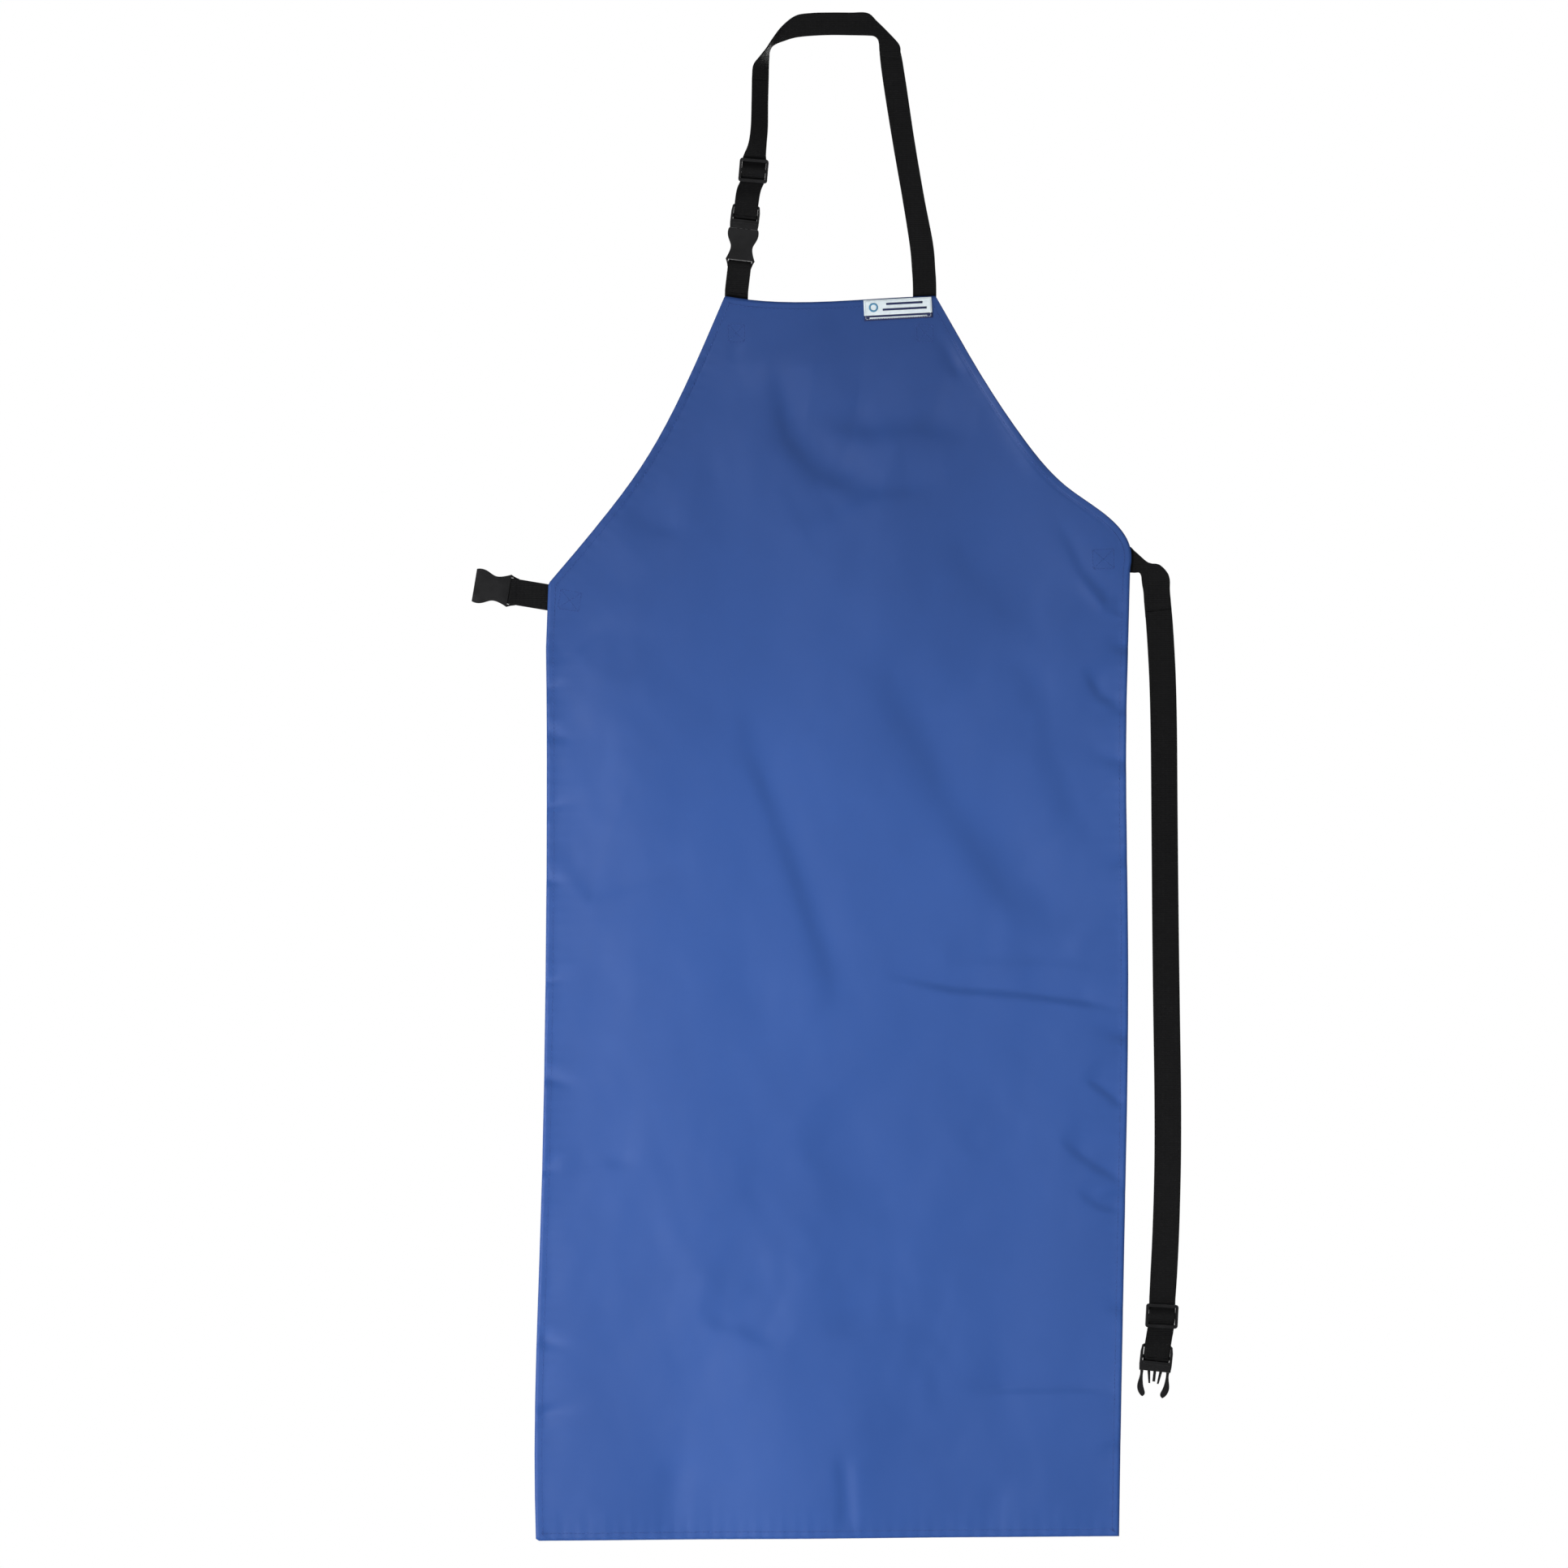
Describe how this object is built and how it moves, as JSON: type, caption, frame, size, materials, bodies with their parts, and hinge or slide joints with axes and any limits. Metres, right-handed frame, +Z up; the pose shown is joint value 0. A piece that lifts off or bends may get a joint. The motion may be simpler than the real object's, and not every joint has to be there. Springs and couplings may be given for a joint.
{
  "type": "bib apron",
  "caption": "Coated bib apron hanging from a webbing neck loop, with a side-release neck buckle, a short waist strap with a socket buckle and a long adjustable waist strap.",
  "frame": {"origin": "middle of the underside of the neck loop's top band, where a neck or hook carries the apron", "axes": "+Z up, +X to the right seen from the front, front of the apron towards -Y"},
  "size_m": [0.7408, 0.0106, 1.595],
  "materials": {
    "shell_fabric": "smooth coated royal-blue cloth with a soft sheen",
    "lining_fabric": "fine plain-weave blue lining",
    "webbing": "ribbed black webbing",
    "buckle_plastic": "fine-grained moulded black plastic",
    "label_cloth": "woven light-grey label cloth",
    "label_band_cloth": "woven navy label cloth",
    "label_thread": "light-grey thread",
    "dark_thread": "dark thread"
  },
  "bodies": {
    "neck_loop": {"neck_band": "webbing", "neck_corner_fold": "webbing", "neck_leg_right": "webbing", "neck_turn_left": "webbing", "neck_leg_left": "webbing", "neck_short_strap": "webbing", "neck_female_buckle": "buckle_plastic"},
    "neck_plug": {"neck_male_buckle": "buckle_plastic", "neck_strap_doubled": "webbing"},
    "neck_arm_left": {"neck_latch_arm_left": "buckle_plastic"},
    "neck_arm_right": {"neck_latch_arm_right": "buckle_plastic"},
    "neck_slide": {"neck_tri_glide": "buckle_plastic", "neck_end_loop": "webbing"},
    "bib": {"bib_shell": "shell_fabric", "bib_lining": "lining_fabric", "bib_top_hem": "shell_fabric", "armhole_hems": "shell_fabric", "bib_side_hems": "shell_fabric", "label_patch": "label_cloth", "label_band": "label_band_cloth", "label_stitching": "label_thread", "neck_strap_ends": "webbing", "neck_end_stitching": "dark_thread", "waist_left_end": "webbing", "waist_right_end": "webbing", "waist_end_stitching": "dark_thread", "waist_strap_tab": "webbing"},
    "skirt": {"skirt_shell": "shell_fabric", "skirt_lining": "lining_fabric", "skirt_side_hems": "shell_fabric", "skirt_bottom_hem": "shell_fabric"},
    "waist_left": {"waist_short_strap": "webbing", "waist_female_buckle": "buckle_plastic"},
    "waist_strap": {"waist_strap_top": "webbing", "waist_strap_run": "webbing"},
    "waist_plug": {"waist_male_buckle": "buckle_plastic", "waist_strap_doubled": "webbing"},
    "waist_arm_left": {"waist_latch_arm_left": "buckle_plastic"},
    "waist_arm_right": {"waist_latch_arm_right": "buckle_plastic"},
    "waist_slide": {"waist_tri_glide": "buckle_plastic", "waist_end_loop": "webbing"}
  },
  "joints": [
    {"name": "bib_swing", "type": "hinge", "parent": "neck_loop", "child": "bib", "pos_m": [0, -0.0026, -0.271], "axis": [1, 0, 0], "range_deg": [-35, 35]},
    {"name": "skirt_fold", "type": "hinge", "parent": "bib", "child": "skirt", "pos_m": [0, -0.0026, -0.64], "axis": [1, 0, 0], "range_deg": [-100, 30]},
    {"name": "neck_release", "type": "slide", "parent": "neck_loop", "child": "neck_plug", "axis": [0.1149, 0, 0.9934], "range_m": [0, 0.03], "deforming": ["neck_leg_left"]},
    {"name": "neck_adjust", "type": "slide", "parent": "neck_plug", "child": "neck_slide", "axis": [0.0872, 0, 0.9962], "range_m": [0, 0.045]},
    {"name": "neck_latch_left", "type": "hinge", "parent": "neck_plug", "child": "neck_arm_left", "pos_m": [-0.10085, 0, -0.20058], "axis": [0, -1, 0], "range_deg": [0, 8], "stiffness_Nm_per_rad": 1.5},
    {"name": "neck_latch_right", "type": "hinge", "parent": "neck_plug", "child": "neck_arm_right", "pos_m": [-0.08148, 0, -0.20282], "axis": [0, 1, 0], "range_deg": [0, 8], "stiffness_Nm_per_rad": 1.5},
    {"name": "short_strap_swing", "type": "hinge", "parent": "bib", "child": "waist_left", "pos_m": [-0.301, 0, -0.5855], "axis": [0.165, 0, 0.9863], "range_deg": [-90, 60]},
    {"name": "waist_strap_swing", "type": "hinge", "parent": "bib", "child": "waist_strap", "pos_m": [0.339, 0, -0.5708], "axis": [1, 0, 0], "range_deg": [-80, 80]},
    {"name": "waist_buckle_rise", "type": "slide", "parent": "waist_strap", "child": "waist_plug", "axis": [0, 0, 1], "range_m": [0, 0.35], "deforming": ["waist_strap_run"]},
    {"name": "waist_adjust", "type": "slide", "parent": "waist_plug", "child": "waist_slide", "axis": [0, 0, 1], "range_m": [0, 0.35]},
    {"name": "waist_latch_left", "type": "hinge", "parent": "waist_plug", "child": "waist_arm_left", "pos_m": [0.32428, 0, -1.39258], "axis": [0, -1, 0], "range_deg": [0, 10], "stiffness_Nm_per_rad": 1.5},
    {"name": "waist_latch_right", "type": "hinge", "parent": "waist_plug", "child": "waist_arm_right", "pos_m": [0.35132, 0, -1.39542], "axis": [0, 1, 0], "range_deg": [0, 10], "stiffness_Nm_per_rad": 1.5}
  ],
  "couplings": [
    {"joint": "neck_latch_right", "follows": "neck_latch_left", "ratio": 1},
    {"joint": "waist_latch_right", "follows": "waist_latch_left", "ratio": 1},
    {"joint": "waist_adjust", "follows": "waist_buckle_rise", "ratio": 1}
  ]
}
